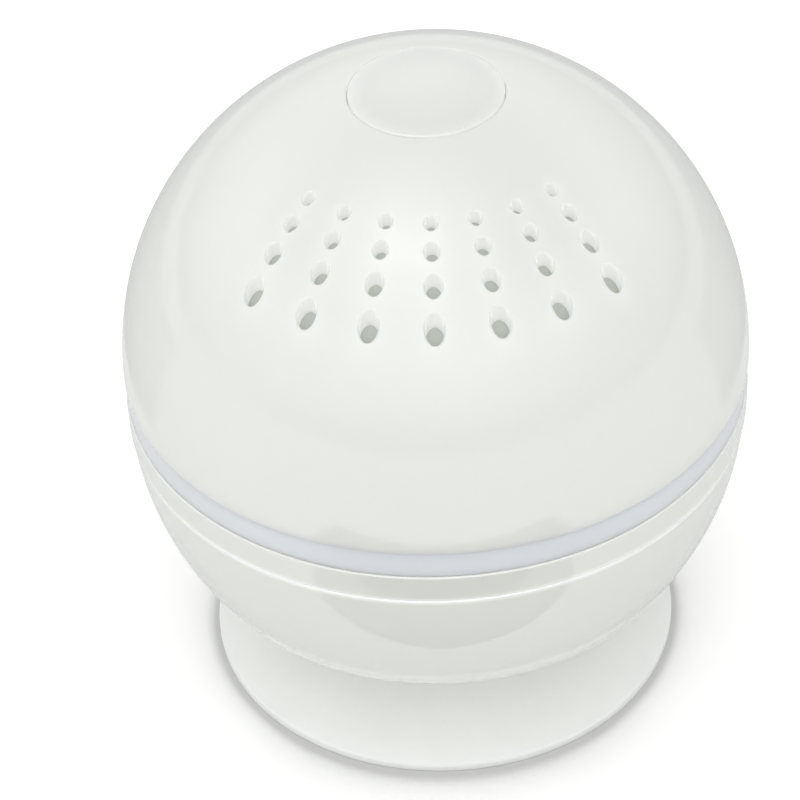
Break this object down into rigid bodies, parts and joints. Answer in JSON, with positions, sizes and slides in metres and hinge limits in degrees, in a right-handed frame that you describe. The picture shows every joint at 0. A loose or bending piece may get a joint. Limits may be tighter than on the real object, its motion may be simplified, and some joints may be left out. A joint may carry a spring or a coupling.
{
  "type": "shower speaker",
  "caption": "Round splash-proof speaker on a suction cup, with a fan of sound holes, a press button on top, a light ring and a covered charging port.",
  "frame": {"origin": "centre of the suction cup's rim, on the surface it sticks to", "axes": "+Z along the globe's axis towards the button, -Y towards the sound holes, +X to the right of someone facing them"},
  "size_m": [0.08, 0.08, 0.0867],
  "materials": {
    "cup_silicone": "glossy moulded white silicone",
    "white_gloss": "glossy moulded white ABS",
    "button_gloss": "glossy moulded white ABS",
    "diffuser": "milky translucent polycarbonate, faintly blue, satin",
    "inner_plastic": "moulded grey acetal",
    "black_plastic": "moulded black ABS",
    "cream_plastic": "moulded cream nylon",
    "white_silicone": "satin moulded white silicone",
    "gasket_rubber": "matte black silicone",
    "surround_rubber": "satin black rubber",
    "screw_steel": "zinc plated",
    "plated_steel": "pressed and zinc plated",
    "magnet_black": "ground sintered ferrite, dark grey",
    "shield_can": "tinned steel",
    "copper": "enamelled copper wire on a paper former",
    "board_green": "green solder mask over glass epoxy",
    "board_brown": "brown phenolic board",
    "chip_black": "moulded black epoxy",
    "led_white": "white package, yellow phosphor",
    "mesh_fabric": "fine woven water-resistant mesh, grey",
    "spider_cloth": "resin treated woven cloth",
    "cone_paper": "coated black paper pulp",
    "wire_black": "black PVC insulation",
    "wire_red": "red PVC insulation",
    "battery_foil": "aluminium laminate pouch, satin",
    "foam": "grey adhesive foam"
  },
  "bodies": {
    "cup": {"suction_cup": "cup_silicone", "swivel_hub": "inner_plastic"},
    "globe": {"retaining_ring": "inner_plastic", "retaining_screws": "screw_steel", "lower_housing": "white_gloss", "screw_plugs": "white_silicone", "case_screws": "screw_steel", "lower_gasket": "gasket_rubber", "light_ring": "diffuser", "upper_gasket": "gasket_rubber", "dome_shell": "white_gloss", "acoustic_mesh": "mesh_fabric", "button_seal": "white_silicone", "switch_carrier": "inner_plastic", "switch_body": "black_plastic", "switch_board": "board_green", "switch_screws": "screw_steel", "switch_cable": "wire_black", "baffle": "black_plastic", "led_board": "board_green", "leds": "led_white", "led_cable": "wire_black", "driver_basket": "plated_steel", "driver_yoke": "plated_steel", "driver_magnet": "magnet_black", "driver_top_plate": "plated_steel", "spider": "spider_cloth", "surround": "surround_rubber", "driver_terminals": "board_brown", "speaker_leads": "wire_red", "driver_screws": "screw_steel", "main_board": "board_green", "wireless_module": "shield_can", "board_chips": "chip_black", "board_screws": "screw_steel", "battery": "battery_foil", "battery_pad": "foam", "battery_leads": "wire_red", "charge_socket": "shield_can"},
    "button": {"button_cap": "button_gloss"},
    "plunger": {"switch_plunger": "cream_plastic"},
    "cone": {"speaker_cone": "cone_paper", "dust_cap": "cone_paper", "voice_coil": "copper"},
    "flap": {"port_flap": "white_silicone"}
  },
  "joints": [
    {"name": "globe_swivel", "type": "hinge", "parent": "cup", "child": "globe", "pos_m": [0, 0, 0.0159], "axis": [0, 0, 1], "continuous": true},
    {"name": "button_press", "type": "slide", "parent": "globe", "child": "button", "axis": [0, 0, -1], "range_m": [0, 0.0006], "stiffness_N_per_m": 3000},
    {"name": "plunger_press", "type": "slide", "parent": "globe", "child": "plunger", "axis": [0, 0, -1], "range_m": [0, 0.0006], "deforming": ["button_seal"]},
    {"name": "cone_travel", "type": "slide", "parent": "globe", "child": "cone", "axis": [0, 0, 1], "range_m": [-0.001, 0.001], "stiffness_N_per_m": 2500, "deforming": ["surround", "spider"]},
    {"name": "flap_hinge", "type": "hinge", "parent": "globe", "child": "flap", "pos_m": [0.007, 0.0391, 0.0323], "axis": [0, 0, -1], "range_deg": [0, 100]}
  ],
  "couplings": [
    {"joint": "plunger_press", "follows": "button_press", "ratio": 1}
  ]
}
